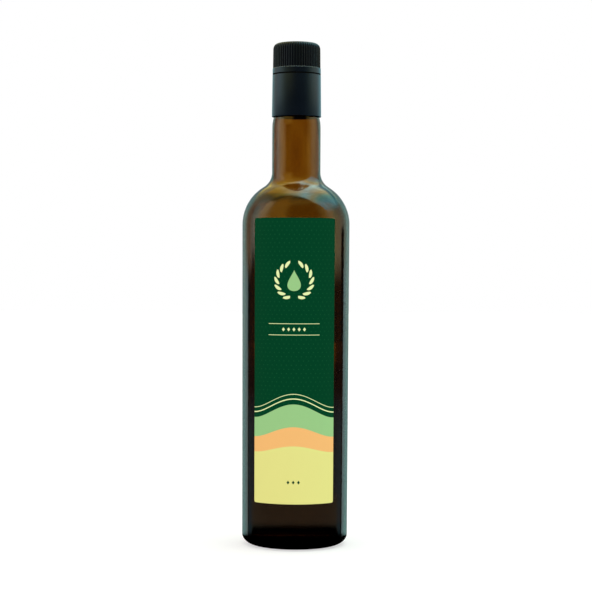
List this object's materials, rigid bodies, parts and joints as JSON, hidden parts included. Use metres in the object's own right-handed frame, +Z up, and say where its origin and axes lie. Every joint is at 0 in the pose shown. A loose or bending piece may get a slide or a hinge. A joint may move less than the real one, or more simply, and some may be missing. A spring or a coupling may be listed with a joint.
{
  "type": "olive oil bottle",
  "caption": "Tall round olive oil bottle in dark tinted glass with a domed shoulder and straight neck, a ribbed black screw cap with a long skirt, and a tall green paper label.",
  "frame": {"origin": "middle of the base, on the surface that the bottle stands on", "axes": "+Z up the bottle's axis, towards the cap; -Y out of the front, where the label is; +X to the right of someone looking at the label"},
  "size_m": [0.0706, 0.0711, 0.3297],
  "materials": {
    "tinted_glass": "polished",
    "olive_oil": "polished",
    "cap_metal": "satin",
    "label_paper": "satin"
  },
  "bodies": {
    "root": {"glass_bottle": "tinted_glass", "oil": "olive_oil", "cap_top": "cap_metal", "cap_skirt": "cap_metal", "label_front": "label_paper"}
  },
  "joints": []
}
